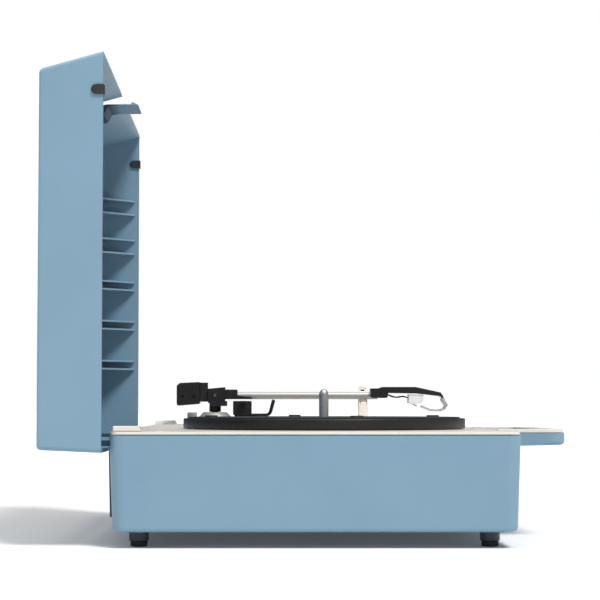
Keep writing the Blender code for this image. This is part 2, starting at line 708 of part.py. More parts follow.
def build_cue():
    y0, y1 = 42.6, 58.0
    housing = box("cue_housing", (113, y0, PLINTH_TOP + GAP), (137, y1 - 1, 81.9))
    cheek = box("lever_cheek", (130, y0, 81), (137, y1 - 1, 89.5))
    neck = box("cue_neck", (115.5, y0 + 2.4, 81), (127, y1 - 2.4, 92))
    join(housing, cheek, neck)
    cut(housing, rod("lever_bore", (LEVER_X, 35, LEVER_Z), (LEVER_X, 54, LEVER_Z), 1.6, 16))
    finish("black_plastic", housing)
    hood = box("cue_platform", (113.2, y0, 86.2), (129.4, y1, 97.8), 0.6)
    lift_bar = box("lift_bar", (98, 47, 96.2), (114, 52, 97.8))
    join(hood, lift_bar)
    cut(hood, box("hood_room", (115.1, y0 + 1.9, 80), (127.4, y1 - 1.9, 96.3)))
    finish("black_plastic", hood)
    lever = wire(
        "cue_lever",
        [(LEVER_X, 53.6, LEVER_Z), (LEVER_X, 30, LEVER_Z), (LEVER_X, 28, LEVER_Z + 0.6),
         (LEVER_X, 26.8, LEVER_Z + 2.4), (LEVER_X, 24, LEVER_Z + 13)],
        1.2,
    )
    finish("black_plastic", lever)
    hang(pivot("cue_lever_axis", (LEVER_X, 42, LEVER_Z)), lever)
    hang(pivot("cue_platform_axis", (ARM_X, 50, 88)), hood)


def build_controls():
    knob = turned(
        "volume_knob",
        [(0, 88.4), (3.7, 88.4), (4.2, 87.9), (4.2, 78.8), (1.8, 78.8), (1.8, 72.5), (0, 72.5)],
        (KNOB_X, KNOB_Y, 0), 24,
    )
    finish("knob_grey", knob)
    hang(pivot("volume_axis", (KNOB_X, KNOB_Y, 0)), knob)
    cap = outline(
        "speed_selector",
        [[(SELECTOR_Y - 9.4, PLINTH_TOP + GAP), (SELECTOR_Y - 7.9, 81.8), (SELECTOR_Y + 7.9, 81.8),
          (SELECTOR_Y + 9.4, PLINTH_TOP + GAP)]],
        "yz", SELECTOR_X - 4, SELECTOR_X + 4,
    )
    low = (SELECTOR_X - 1.6, SELECTOR_Y - 2, 72)
    stem = box("selector_stem", low, (SELECTOR_X + 1.6, SELECTOR_Y + 2, 79.5))
    join(cap, stem)
    finish("cream", cap)
    hang(pivot("speed_selector_axis", (SELECTOR_X, SELECTOR_Y, 80)), cap)


# ---------------------------------------------------------------- lid


def lid_top(y):
    """Height of the lid's outer top wall at a depth."""
    share = (y - LID_OPENING_Y) / (LID_BACK_Y - LID_OPENING_Y)
    return LID_TOP_FRONT + share * (LID_TOP_BACK - LID_TOP_FRONT)


def lid_shell():
    bm = bmesh.new()
    bmesh.ops.create_cube(bm, size=2.0)
    for vert in bm.verts:
        back = vert.co.y > 0
        x = HALF_WIDTH - (1.2 if back else 0.0)
        if vert.co.z > 0:
            z = LID_TOP_BACK if back else LID_TOP_FRONT
        else:
            z = LID_BOTTOM_BACK if back else LID_BOTTOM_FRONT
        vert.co = (math.copysign(x, vert.co.x), LID_BACK_Y if back else LID_OPENING_Y, z)
    bmesh.ops.delete(bm, geom=[f for f in bm.faces if f.normal.y < -0.9], context="FACES_ONLY")
    along = [e for e in bm.edges if abs(e.verts[0].co.y - e.verts[1].co.y) > 1]
    bmesh.ops.bevel(bm, geom=along, offset=2.8, segments=3, profile=0.5, affect="EDGES")
    bm.normal_update()
    back = max(bm.faces, key=lambda f: f.calc_center_median().y)
    bmesh.ops.bevel(bm, geom=list(back.edges), offset=2.2, segments=2, profile=0.5, affect="EDGES")
    bm.transform(Matrix.Scale(MM, 4))
    obj = placed("lid_shell", mesh_from(bm, "lid_shell"))
    shell = obj.modifiers.new("walls", "SOLIDIFY")
    shell.thickness = WALL * MM
    shell.offset = -1
    shell.use_even_offset = True
    return obj


def build_lid():
    lid = lid_shell()
    additions = []
    wall_x = HALF_WIDTH - WALL + 0.8
    panel_y = LID_BACK_Y - WALL + 0.8
    for side in (-1, 1):
        web = [(side * wall_x, panel_y), (side * wall_x, panel_y - GUSSET_LEG),
               (side * (wall_x - 2), panel_y - GUSSET_LEG), (side * (wall_x - GUSSET_LEG - 1), panel_y)]
        for row, apart in enumerate(GUSSET_SPACINGS):
            middle = GUSSET_TOP - row * GUSSET_PITCH
            for z in (middle - apart / 2, middle + apart / 2):
                additions.append(outline("gusset", [web], "xy", z - 0.75, z + 0.75))
        near, far = sorted((side * (NOTCH_HALF_WIDTH + 0.4), side * (NOTCH_HALF_WIDTH + 3.4)))
        ear = arc((LATCH_Y, LATCH_Z), 2.7, 180, 360, 10)
        ear += [(LATCH_Y + 2.7, lid_top(LATCH_Y + 2.7) - 1.5), (LATCH_Y - 2.7, lid_top(LATCH_Y - 2.7) - 1.5)]
        additions.append(outline("latch_ear", [ear], "yz", near, far))
    join(lid, *additions)
    reach = NOTCH_HALF_WIDTH + 2.4
    cut(
        lid,
        box("latch_notch", (-NOTCH_HALF_WIDTH, 130, 305), (NOTCH_HALF_WIDTH, NOTCH_END_Y, 335)),
        rod("latch_bore", (-reach, LATCH_Y, LATCH_Z), (reach, LATCH_Y, LATCH_Z), 1.5, 12),
    )
    finish("case_blue", lid)

    riders = [lid]
    for name, side in SIDES:
        x = side * HINGE_X
        arm_side = arc((HINGE_Y, HINGE_Z), 3.5, 20, 340, 16)
        arm_side += [(138, 66.4), (170, 67.8), (170, 70.6), (135.5, 70.4)]
        arm = outline(f"hinge_arm_{name}", [arm_side], "yz", x - 6, x + 6)
        cut(arm, rod("pin_hole", (x - 8, HINGE_Y, HINGE_Z), (x + 8, HINGE_Y, HINGE_Z), 1.8, 16))
        finish("case_blue", arm)
        pin = rod(f"hinge_pin_{name}", (x - 14, HINGE_Y, HINGE_Z), (x + 14, HINGE_Y, HINGE_Z), 1.5, 12)
        finish("steel", pin)

        outside = side * (HALF_WIDTH + 1.3)
        inside = side * (HALF_WIDTH - WALL - 1.5)
        tongue = [(139.6, BUMPER_Z - 3.3)]
        tongue += arc((145.2, BUMPER_Z), 3.3, -90, 90, 8)
        tongue += [(139.6, BUMPER_Z + 3.3)]
        near, far = sorted((outside, inside))
        bumper = outline(f"lid_bumper_{name}", [tongue], "yz", near, far, 0.3)
        low, high = sorted((side * (HALF_WIDTH + GAP), side * (HALF_WIDTH - WALL - GAP - 0.2)))
        cut(bumper, box("wall_groove", (low, LID_OPENING_Y - GAP, 290), (high, 160, 312)))
        finish("black_rubber", bumper)
        riders += [arm, bumper]

    reach = NOTCH_HALF_WIDTH + 2.2
    pin = rod("latch_pin", (-reach, LATCH_Y, LATCH_Z), (reach, LATCH_Y, LATCH_Z), 1.2, 12)
    finish("steel", pin)
    hinge = pivot("lid_hinge_axis", (0, HINGE_Y, HINGE_Z))
    hang(hinge, *riders, pin)

    tongue = [
        (128.0, 320.6), (128.2, 321.2), (133.0, 323.4), (133.6, 321.6), (152, 321.4), (160.8, 319.4),
        (160.8, 314.0), (154, 314.0), (151, 319.6), (146, 320.4),
    ]
    latch = outline("lid_latch", [tongue], "yz", -LATCH_HALF_WIDTH, LATCH_HALF_WIDTH, 0.3)
    cut(latch, rod("latch_bore", (-25, LATCH_Y, LATCH_Z), (25, LATCH_Y, LATCH_Z), 1.5, 12))
    finish("case_blue", latch)
    hang(pivot("latch_axis", (0, LATCH_Y, LATCH_Z)), latch)

    catch = box("latch_catch", (-18, -129.6, 70.4), (18, -123.1, DECK_UNDER - GAP))
    finish("steel", catch)


build_case()
build_feet()
build_speakers()
build_electronics()
build_drive()
build_platter()
build_arm(build_arm_support())
build_arm_rest()
build_cue()
build_controls()
build_lid()
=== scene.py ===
import json
import math

import bmesh
import bpy
from mathutils import Matrix, Vector

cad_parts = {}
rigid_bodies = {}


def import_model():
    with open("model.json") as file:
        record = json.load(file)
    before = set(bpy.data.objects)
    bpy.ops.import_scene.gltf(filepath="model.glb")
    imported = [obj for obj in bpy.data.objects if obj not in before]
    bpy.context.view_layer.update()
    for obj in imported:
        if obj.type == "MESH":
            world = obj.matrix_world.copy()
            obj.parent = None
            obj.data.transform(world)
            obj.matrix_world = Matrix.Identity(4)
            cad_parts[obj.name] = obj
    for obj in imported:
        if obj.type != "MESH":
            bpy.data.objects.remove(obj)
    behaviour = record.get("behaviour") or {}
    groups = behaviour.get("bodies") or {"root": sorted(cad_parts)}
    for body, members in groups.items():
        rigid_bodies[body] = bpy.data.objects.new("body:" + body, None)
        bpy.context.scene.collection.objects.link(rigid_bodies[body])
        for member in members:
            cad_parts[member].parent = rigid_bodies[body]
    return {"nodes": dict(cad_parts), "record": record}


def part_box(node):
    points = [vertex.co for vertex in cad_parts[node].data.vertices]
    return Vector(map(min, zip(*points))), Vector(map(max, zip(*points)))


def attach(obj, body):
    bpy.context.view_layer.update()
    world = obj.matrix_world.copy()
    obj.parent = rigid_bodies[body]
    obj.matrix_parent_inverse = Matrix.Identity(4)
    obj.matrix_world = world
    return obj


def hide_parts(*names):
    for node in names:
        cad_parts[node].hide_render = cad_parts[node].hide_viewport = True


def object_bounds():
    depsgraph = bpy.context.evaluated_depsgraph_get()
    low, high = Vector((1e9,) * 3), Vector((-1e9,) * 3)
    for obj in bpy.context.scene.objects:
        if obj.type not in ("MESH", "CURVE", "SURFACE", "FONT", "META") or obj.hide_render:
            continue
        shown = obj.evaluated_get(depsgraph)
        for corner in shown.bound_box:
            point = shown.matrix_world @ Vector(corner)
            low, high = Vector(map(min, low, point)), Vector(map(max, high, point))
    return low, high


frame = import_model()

CAD_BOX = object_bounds()
MM = 0.001
BODIES = frame["record"]["behaviour"]["bodies"]
BODY_OF = {node: body for body, nodes in BODIES.items() for node in nodes}
SLOT_OF = {row["node"]: row["material_slot"] for row in frame["record"]["subparts"]}
scene = bpy.context.scene
scene.view_settings.view_transform = "Standard"

# ---------------------------------------------------------------- camera, light and floor

# place in metres, pitch in degrees, lens and sensor in millimetres
CAMERA_PLACE = (-1.3025, 0.039, 0.092)
CAMERA_PITCH = 3.611
CAMERA_LENS = 102.674
CAMERA_SENSOR = 36
CAMERA_SHIFT_X = 0.0733
NEAREST_SEEN = 0.01
# name, the way it shines, strength, width in degrees
SUNS = (
    ("key_light", (0.45, 0.32, -0.87), 3.2, 18),
    ("top_light", (0.1, -0.35, -1), 1.8, 80),
)
WORLD_STRENGTH = 0.21
FLOOR_RADIUS = 30
FLOOR_DROP = 0.0001
FLOOR_SHADE = 0.76
FLOOR_ROUGHNESS = 0.7
FLOOR_SPECULAR = 0.1
FLOOR_GLOW = 0.055
WHITE = (1, 1, 1, 1)


def add_camera():
    data = bpy.data.cameras.new("camera")
    data.lens = CAMERA_LENS
    data.sensor_width = CAMERA_SENSOR
    data.shift_x = CAMERA_SHIFT_X
    data.clip_start = NEAREST_SEEN
    camera = bpy.data.objects.new("camera", data)
    camera.location = CAMERA_PLACE
    camera.rotation_euler = (math.radians(90 + CAMERA_PITCH), 0, math.radians(-90))
    scene.collection.objects.link(camera)
    scene.camera = camera


def add_sun(name, aim, strength, spread):
    data = bpy.data.lights.new(name, "SUN")
    data.energy = strength
    data.angle = math.radians(spread)
    sun = bpy.data.objects.new(name, data)
    sun.rotation_euler = Vector(aim).to_track_quat("-Z", "Y").to_euler()
    scene.collection.objects.link(sun)


def add_world():
    """A white backdrop that lights the object less than it shows."""
    world = bpy.data.worlds.new("studio")
    world.use_nodes = True
    nodes, links = world.node_tree.nodes, world.node_tree.links
    nodes.clear()
    out = nodes.new("ShaderNodeOutputWorld")
    lit = nodes.new("ShaderNodeBackground")
    lit.inputs["Color"].default_value = WHITE
    lit.inputs["Strength"].default_value = WORLD_STRENGTH
    seen = nodes.new("ShaderNodeBackground")
    seen.inputs["Color"].default_value = WHITE
    path = nodes.new("ShaderNodeLightPath")
    mix = nodes.new("ShaderNodeMixShader")
    links.new(path.outputs["Is Camera Ray"], mix.inputs["Fac"])
    links.new(lit.outputs[0], mix.inputs[1])
    links.new(seen.outputs[0], mix.inputs[2])
    links.new(mix.outputs[0], out.inputs["Surface"])
    scene.world = world


def add_floor():
    """Matt paper just under the feet that glows a little, so that it meets the backdrop without an edge."""
    bm = bmesh.new()
    bmesh.ops.create_circle(bm, cap_ends=True, segments=64, radius=FLOOR_RADIUS)
    mesh = bpy.data.meshes.new("floor")
    bm.to_mesh(mesh)
    bm.free()
    floor = bpy.data.objects.new("floor", mesh)
    scene.collection.objects.link(floor)
    floor.location.z = CAD_BOX[0][2] - FLOOR_DROP
    material = bpy.data.materials.new("floor_paper")
    material.use_nodes = True
    shader = material.node_tree.nodes["Principled BSDF"]
    shader.inputs["Base Color"].default_value = (FLOOR_SHADE, FLOOR_SHADE, FLOOR_SHADE, 1)
    shader.inputs["Roughness"].default_value = FLOOR_ROUGHNESS
    shader.inputs["Specular IOR Level"].default_value = FLOOR_SPECULAR
    shader.inputs["Emission Color"].default_value = WHITE
    shader.inputs["Emission Strength"].default_value = FLOOR_GLOW
    mesh.materials.append(material)


add_camera()
for sun_row in SUNS:
    add_sun(*sun_row)
add_world()
add_floor()

# ---------------------------------------------------------------- materials

# the Pointiness (0.5 on a flat face) at which an edge starts to turn lighter, as wear and painted highlight,
# and is wholly lighter
EDGE_STARTS, EDGE_FULL = 0.52, 0.62


class Surface:
    """One Principled material with its own texture nodes, all read from the piece's place in metres."""

    def __init__(self, name, colour, roughness, metallic=0.0):
        self.material = bpy.data.materials.new(name)
        self.material.use_nodes = True
        self.nodes = self.material.node_tree.nodes
        self.links = self.material.node_tree.links
        self.shader = self.nodes["Principled BSDF"]
        self.shader.inputs["Metallic"].default_value = metallic
        self.place = self.nodes.new("ShaderNodeTexCoord").outputs["Object"]
        self.colour = self.value_node("ShaderNodeRGB", colour)
        self.roughness = self.value_node("ShaderNodeValue", roughness)
        self.height = None

    def value_node(self, kind, value):
        node = self.nodes.new(kind)
        node.outputs[0].default_value = (*value, 1) if kind == "ShaderNodeRGB" else value
        return node.outputs[0]

    def stretched(self, stretch):
        mapping = self.nodes.new("ShaderNodeMapping")
        mapping.inputs["Scale"].default_value = stretch
        self.links.new(self.place, mapping.inputs["Vector"])
        return mapping.outputs[0]

    def noise(self, size, detail, stretch=(1, 1, 1)):
        """Noise with features of a size in millimetres, 0 to 1.

        A stretch below 1 draws the features out along that axis.
        """
        node = self.nodes.new("ShaderNodeTexNoise")
        node.inputs["Scale"].default_value = 1 / (size * MM)
        node.inputs["Detail"].default_value = detail
        self.links.new(self.stretched(stretch), node.inputs["Vector"])
        return node.outputs["Fac"]

    def along_y(self):
        """Distance along Y, in metres."""
        node = self.nodes.new("ShaderNodeSeparateXYZ")
        self.links.new(self.place, node.inputs[0])
        return node.outputs["Y"]

    def edges(self):
        """The outward edges, where handling polishes or wears the piece and a highlight is painted, 0 to 1.
        """
        pointiness = self.nodes.new("ShaderNodeNewGeometry").outputs["Pointiness"]
        return self.ramp(pointiness, EDGE_STARTS, EDGE_FULL)

    def ramp(self, source, low, high, out_low=0.0, out_high=1.0):
        node = self.nodes.new("ShaderNodeMapRange")
        limits = {"From Min": low, "From Max": high, "To Min": out_low, "To Max": out_high}
        for socket, value in limits.items():
            node.inputs[socket].default_value = value
        self.links.new(source, node.inputs["Value"])
        return node.outputs[0]

    def maths(self, operation, first, second):
        node = self.nodes.new("ShaderNodeMath")
        node.operation = operation
        for socket, value in zip(node.inputs, (first, second)):
            if isinstance(value, (int, float)):
                socket.default_value = value
            else:
                self.links.new(value, socket)
        return node.outputs[0]

    def tint(self, share, colour):
        """Mixes a colour in, where share goes to 1."""
        node = self.nodes.new("ShaderNodeMix")
        node.data_type = "RGBA"
        first_colour, second_colour = node.inputs[6], node.inputs[7]
        self.links.new(share, node.inputs["Factor"])
        self.links.new(self.colour, first_colour)
        second_colour.default_value = (*colour, 1)
        self.colour = node.outputs[2]

    def mottle(self, colour, size, detail, low, high, share):
        """Patches of a colour, from none where the noise is low to a share of it where the noise is high."""
        self.tint(self.ramp(self.noise(size, detail), low, high, 0, share), colour)

    def wear_and_highlight(self, colour, share):
        """A share of a colour on the outward edges: wear, and a painted highlight where the colour is
        lighter.
        """
        self.tint(self.maths("MULTIPLY", self.edges(), share), colour)

    def vary_roughness(self, source, low, high, by):
        self.roughness = self.maths("ADD", self.roughness, self.ramp(source, low, high, -by, by))

    def raise_by(self, source, millimetres):
        step = self.maths("MULTIPLY", source, millimetres * MM)
        self.height = step if self.height is None else self.maths("ADD", self.height, step)

    def done(self, **inputs):
        self.links.new(self.colour, self.shader.inputs["Base Color"])
        self.links.new(self.roughness, self.shader.inputs["Roughness"])
        for name, value in inputs.items():
            self.shader.inputs[name.replace("_", " ")].default_value = value
        bump = self.nodes.new("ShaderNodeBump")
        bump.inputs["Distance"].default_value = 1.0
        self.links.new(self.height, bump.inputs["Height"])
        self.links.new(bump.outputs["Normal"], self.shader.inputs["Normal"])
        return self.material


def scaled(colour, by, plus=0.0):
    return tuple(min(1.0, c * by + plus) for c in colour)


def moulded(name, colour, roughness, depth=0.006, dust=0.16, painted_shade=None, **inputs):
    """Moulded plastic: fine grain, faint flow marks, handling marks, worn edges with a painted highlight and
    a little dust.

    Depth is how far the grain stands up, in millimetres, and dust the share of light specks. Painted shade
    darkens the plastic from one place along Y to another, in millimetres.
    """
    surface = Surface(name, colour, roughness)
    lighter = scaled(colour, 1.12, 0.012)
    surface.mottle(lighter, size=90, detail=3, low=0.4, high=0.75, share=0.35)
    surface.mottle(scaled(colour, 0.9), size=35, detail=4, low=0.5, high=0.8, share=0.3)
    surface.mottle(lighter, size=0.9, detail=2, low=0.66, high=0.8, share=dust)
    # lighter outward edges: handling wear and a painted highlight
    surface.wear_and_highlight(scaled(colour, 1.3, 0.02), share=0.3)
    if painted_shade:
        # painted shade: the plastic turns darker along Y, standing in for the shadow deep in the latch notch
        start, end = painted_shade[0] * MM, painted_shade[1] * MM
        surface.tint(surface.ramp(surface.along_y(), start, end, 0, 0.8), scaled(colour, 0.12))
    surface.vary_roughness(surface.noise(24, 5), 0.3, 0.7, by=0.05)
    surface.vary_roughness(surface.noise(3, 4, (1, 0.12, 1)), 0.45, 0.7, by=0.03)
    surface.raise_by(surface.noise(0.5, 3), depth)
    surface.raise_by(surface.noise(60, 2), 0.05)
    return surface.done(**inputs)


def rubber(name, colour, roughness=0.75):
    """Matt rubber or paper with lint and rubbed patches."""
    surface = Surface(name, colour, roughness)
    surface.mottle(scaled(colour, 2.2, 0.01), size=0.6, detail=4, low=0.55, high=0.8, share=0.5)
    surface.mottle(scaled(colour, 1.5), size=18, detail=4, low=0.5, high=0.8, share=0.35)
    # lighter outward edges: rubbing wear and a painted highlight
    surface.wear_and_highlight(scaled(colour, 2.5, 0.01), share=0.35)
    surface.vary_roughness(surface.noise(12, 3), 0.3, 0.7, by=0.07)
    surface.raise_by(surface.noise(0.35, 3), 0.012)
    return surface.done()


def metal(name, colour, roughness, stretch=(1, 1, 1), **inputs):
    """Plated or turned metal with fine tool lines and fingerprints."""
    surface = Surface(name, colour, roughness, 1.0)
    surface.mottle(scaled(colour, 0.82), size=14, detail=4, low=0.5, high=0.8, share=0.25)
    surface.vary_roughness(surface.noise(0.4, 3, stretch), 0.3, 0.7, by=0.05)
    surface.vary_roughness(surface.noise(9, 4), 0.4, 0.7, by=0.04)
    surface.raise_by(surface.noise(0.4, 2, stretch), 0.0015)
    return surface.done(**inputs)


BLUE = (0.176, 0.29, 0.382)
CREAM = (0.665, 0.625, 0.575)
BLACK = (0.011, 0.011, 0.0115)
MATERIALS = {
    "case_plastic": moulded("case_blue", BLUE, 0.42, Specular_IOR_Level=0.3),
    "cream_plastic": moulded("deck_cream", CREAM, 0.32, depth=0.002, dust=0.08, Coat_Weight=0.15),
    "black_plastic": moulded("black_plastic", BLACK, 0.42, dust=0.08, Specular_IOR_Level=0.35),
    "black_rubber": rubber("black_rubber", (0.014, 0.014, 0.015)),
    # painted shade: the foot collars are the case blue, darkened for the shade under the base
    "foot_plastic": moulded("foot_plastic", (0.033, 0.045, 0.062), 0.5),
    "grey_plastic": moulded("grey_plastic", (0.3, 0.32, 0.29), 0.42),
    "silver_plastic": moulded("silver_plastic", (0.5, 0.49, 0.46), 0.3, depth=0.001, Metallic=0.5),
    "chrome": metal("chrome", (0.44, 0.435, 0.425), 0.42, (1, 0.05, 1), Metallic=0.4),
    "steel": metal("steel", (0.42, 0.42, 0.42), 0.42, Metallic=0.7),
    "brass": metal("brass", (0.72, 0.54, 0.24), 0.28),
    "white_plastic": moulded("white_plastic", (0.78, 0.78, 0.75), 0.28, depth=0.001, dust=0.04),
    "board": moulded("board_green", (0.03, 0.16, 0.06), 0.35),
    "paper": rubber("cone_paper", (0.03, 0.03, 0.03), 0.9),
    "wire_black": moulded("wire_black", (0.02, 0.02, 0.022), 0.4),
    "wire_red": moulded("wire_red", (0.2, 0.012, 0.014), 0.4),
    "socket_red": moulded("socket_red", (0.45, 0.02, 0.02), 0.35),
}
REST_CREAM = moulded("rest_cream", (0.93, 0.86, 0.76), 0.35, depth=0.002, dust=0.04)
# painted light: a lighter copy of the cream, lifting the selector out of the counterweight's shadow
SELECTOR_CREAM_PAINTED_LIGHT = moulded("selector_cream", (0.93, 0.9, 0.86), 0.35, depth=0.002, dust=0.08)
PLATTER_BLACK = moulded("platter_black", (0.0165, 0.0165, 0.016), 0.4, dust=0.08, Specular_IOR_Level=0.25)
GUARD_CLEAR = moulded(
    "guard_clear", (0.6, 0.6, 0.59), 0.2, depth=0.001, dust=0.04, Transmission_Weight=0.6, IOR=1.49
)
# painted shade: a dark navy for parts that stand in shadow, in place of the case blue
PAINTED_SHADE_BLUE = moulded("shade_blue", (0.022, 0.05, 0.08), 0.55)
# painted shade: the latch's barrel darkens towards the hinge, where it sits in the notch's shadow
LATCH_BLUE = moulded("latch_blue", BLUE, 0.6, painted_shade=(143, 150), Specular_IOR_Level=0.05)
PIVOT_STEEL = metal("pivot_steel", (0.16, 0.16, 0.16), 0.4)
FINISH_OF = {
    "arm_rest": REST_CREAM,
    "arm_rest_clip": REST_CREAM,
    # the selector's lighter cream is painted light against the counterweight's shadow
    "speed_selector": SELECTOR_CREAM_PAINTED_LIGHT,
    "platter": PLATTER_BLACK,
    "stylus_guard": GUARD_CLEAR,
    # painted shade: dark navy on the hinge arms and rear stands, which stand in shadow
    "hinge_arm_left": PAINTED_SHADE_BLUE,
    "hinge_arm_right": PAINTED_SHADE_BLUE,
    # the latch, with painted shade towards the hinge
    "lid_latch": LATCH_BLUE,
    "rear_stand_left": PAINTED_SHADE_BLUE,
    "rear_stand_right": PAINTED_SHADE_BLUE,
    "pivot_screw_left": PIVOT_STEEL,
    "pivot_screw_right": PIVOT_STEEL,
}

# ---------------------------------------------------------------- piece building

# degrees
ROUNDED_FROM = 32
FLAT_WITHIN = 0.8
# how far larger faces count for more in the shading: 50 is not at all, 100 is as far as it goes
FACE_WEIGHT = 80
# millimetres
SAME_POINT = 0.003
SMALLEST_RADIUS = 0.001
# steps along a smooth path between two of its points
PATH_STEPS = 8
# a rod's radius at its very ends, as a share of its full radius
ROD_END = 0.6


def millimetres(node):
    """Lowest and highest corner of a CAD node in millimetres."""
    low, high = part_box(node)
    return low / MM, high / MM


def middle_of(node):
    """Lowest and highest corner, middle and radius across X of a CAD node, in millimetres."""
    low, high = millimetres(node)
    middle = (low + high) / 2
    return low, high, middle, high.x - middle.x


def soften(piece, width, segments, clamp):
    """Small rounded edges with flat faces that stay flat.

    Clamp narrows all of a piece's edges to what its finest detail leaves room for.
    """
    bevel = piece.modifiers.new("edges", "BEVEL")
    bevel.width = width * MM
    bevel.segments = segments
    bevel.limit_method = "ANGLE"
    bevel.angle_limit = math.radians(ROUNDED_FROM)
    bevel.use_clamp_overlap = clamp
    even = piece.modifiers.new("normals", "WEIGHTED_NORMAL")
    even.keep_sharp = True
    even.weight = FACE_WEIGHT


def piece_for(node, bm, edge=0.0, segments=3, sharp=60, clamp=True):
    """A finished piece that stands for a CAD node, from a mesh in metres.

    Edge is the width of its rounded edges in millimetres, and sharp the angle in degrees from which
    the faces at an edge are shaded apart.
    """
    for face in bm.faces:
        face.smooth = True
    mesh = bpy.data.meshes.new(node + "_fine")
    bm.to_mesh(mesh)
    bm.free()
    mesh.set_sharp_from_angle(angle=math.radians(sharp))
    piece = bpy.data.objects.new(node + "_fine", mesh)
    scene.collection.objects.link(piece)
    if edge:
        soften(piece, edge, segments, clamp)
    mesh.materials.append(FINISH_OF.get(node, MATERIALS[SLOT_OF[node]]))
    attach(piece, BODY_OF[node])
    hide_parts(node)
    return piece


def own_shape(node, join=SAME_POINT):
    """The CAD node's shape, its points joined within so many millimetres and its flat faces whole."""
    bm = bmesh.new()
    bm.from_mesh(frame["nodes"][node].data)
    bmesh.ops.remove_doubles(bm, verts=bm.verts, dist=join * MM)
    angle = math.radians(FLAT_WITHIN)
    bmesh.ops.dissolve_limit(bm, angle_limit=angle, verts=bm.verts, edges=bm.edges)
    return bm


def add_turned(bm, profile, steps, centre=(0, 0), closed=True, ribs=0, rib_depth=0.0):
    """A profile of (radius, height) in millimetres turned about an upright line.

    Closed joins its last point to its first, and ribs may run up its side.
    """
    rings = []
    for radius, height in profile:
        if radius < SMALLEST_RADIUS:
            rings.append([bm.verts.new((centre[0] * MM, centre[1] * MM, height * MM))])
            continue
        ring = []
        for step in range(steps):
            turn = 2 * math.pi * step / steps
            reach = radius + rib_depth * math.cos(ribs * turn)
            x = centre[0] + reach * math.cos(turn)
            y = centre[1] + reach * math.sin(turn)
            ring.append(bm.verts.new((x * MM, y * MM, height * MM)))
        rings.append(ring)
    after = rings[1:] + rings[:1] if closed else rings[1:]
    for ring, following in zip(rings, after):
        for step in range(steps):
            corners = (
                ring[step % len(ring)], ring[(step + 1) % len(ring)],
                following[(step + 1) % len(following)], following[step % len(following)],
            )
            corners = list(dict.fromkeys(corners))
            if len(corners) > 2:
                bm.faces.new(corners)


def turned(node, profile, steps, centre, edge=0.0, closed=True):
    """The piece for a node that is a profile turned about an upright line."""
    bm = bmesh.new()
    add_turned(bm, profile, steps, centre, closed)
    bmesh.ops.recalc_face_normals(bm, faces=bm.faces)
    piece_for(node, bm, edge, sharp=40)


def aim(bm, start, toward):
    """Turns a mesh from upright to a direction, and moves its origin to a start point in millimetres."""
    turn = Vector(toward).to_track_quat("Z", "Y").to_matrix().to_4x4()
    bm.transform(Matrix.Translation(Vector(start) * MM) @ turn)
    bmesh.ops.recalc_face_normals(bm, faces=bm.faces)


def lying(node, profile, steps, start):
    """The piece for a node that is a profile of (radius, distance) turned about a line towards the front."""
    bm = bmesh.new()
    add_turned(bm, profile, steps, closed=False)
    aim(bm, start, (0, -1, 0))
    piece_for(node, bm, sharp=40)


def smooth_path(points):
    """A Catmull-Rom curve through the points."""
    points = [Vector(p) for p in points]
    ends = [2 * points[0] - points[1]] + points + [2 * points[-1] - points[-2]]
    path = []
    for before, start, end, after in zip(ends, ends[1:], ends[2:], ends[3:]):
        for step in range(PATH_STEPS):
            t = step / PATH_STEPS
            path.append(
                0.5 * (2 * start + (end - before) * t + (2 * before - 5 * start + 4 * end - after) * t * t
                       + (3 * start - 3 * end + after - before) * t * t * t)
            )
    return path + [points[-1]]


def tube(node, points, radii, sides):
    """The piece for a node that is a round rod along a smooth path, from the first radius to the last."""
    path = smooth_path(points)
    bm = bmesh.new()
    rings = []
    for i, place in enumerate(path):
        run = path[min(i + 1, len(path) - 1)] - path[max(i - 1, 0)]
        turn = run.to_track_quat("Z", "X")
        radius = radii[0] + (radii[1] - radii[0]) * i / (len(path) - 1)
        if i in (0, len(path) - 1):
            radius *= ROD_END
        spots = [2 * math.pi * side / sides for side in range(sides)]
        ring = [place + turn @ Vector((radius * math.cos(a), radius * math.sin(a), 0)) for a in spots]
        rings.append([bm.verts.new(spot * MM) for spot in ring])
    for ring, following in zip(rings, rings[1:]):
        for side in range(sides):
            beside = (side + 1) % sides
            bm.faces.new((ring[side], ring[beside], following[beside], following[side]))
    bm.faces.new(rings[0])
    bm.faces.new(rings[-1])
    bmesh.ops.recalc_face_normals(bm, faces=bm.faces)
    piece_for(node, bm, sharp=50)


def block_between(low, high):
    """A block between two corners in millimetres."""
    bm = bmesh.new()
    bmesh.ops.create_cube(bm, size=1.0)
    size = Vector(high) - Vector(low)
    bm.transform(Matrix.Translation((Vector(high) + Vector(low)) / 2) @ Matrix.Diagonal((*size, 1)))
    bm.transform(Matrix.Scale(MM, 4))
    return bm


def pit(centre, toward, radius, depth):
    """The room of a round recess in a face, from 1 mm outside it to a depth."""
    bm = bmesh.new()
    add_turned(bm, [(0, -1), (radius, -1), (radius, depth), (0, depth)], 40, closed=False)
    aim(bm, centre, toward)
    return bm


def paint_shade_on(piece, low, high, material):
    """Another material, painted on as shade, on the faces whose middles lie in a box, in millimetres."""
    piece.data.materials.append(material)
    for face in piece.data.polygons:
        middle = face.center / MM
        if all(low[i] < middle[i] < high[i] for i in range(3)):
            face.material_index = 1


